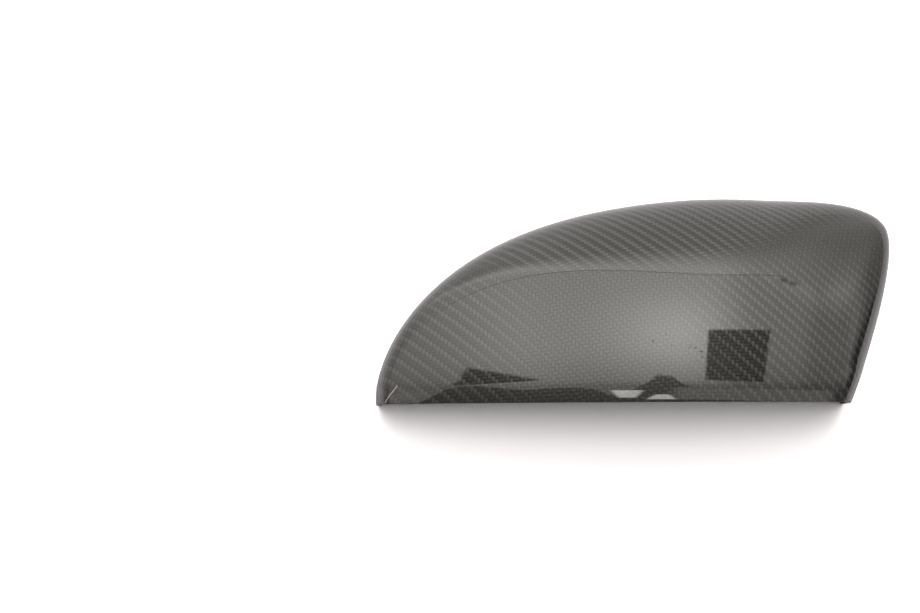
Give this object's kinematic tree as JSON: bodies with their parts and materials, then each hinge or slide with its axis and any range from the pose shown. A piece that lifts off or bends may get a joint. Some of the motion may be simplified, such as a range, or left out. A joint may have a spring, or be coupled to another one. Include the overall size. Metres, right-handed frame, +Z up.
{
  "type": "wing mirror cover",
  "caption": "Wing mirror cover: a thin crowned shell of woven fibre laminate with a soft styling crease and rolled edges, open at the back and along the underside.",
  "frame": {"origin": "Centre of the bounding box in plan, on the table under the rear rim", "axes": "+X along the length to the inner end, +Y to the top of the mirror, +Z up, out of the front face"},
  "size_m": [0.24, 0.113, 0.054],
  "materials": {
    "laminate": "woven twill laminate under a clear gloss coat"
  },
  "bodies": {
    "root": {"mirror_cover": "laminate"}
  },
  "joints": []
}
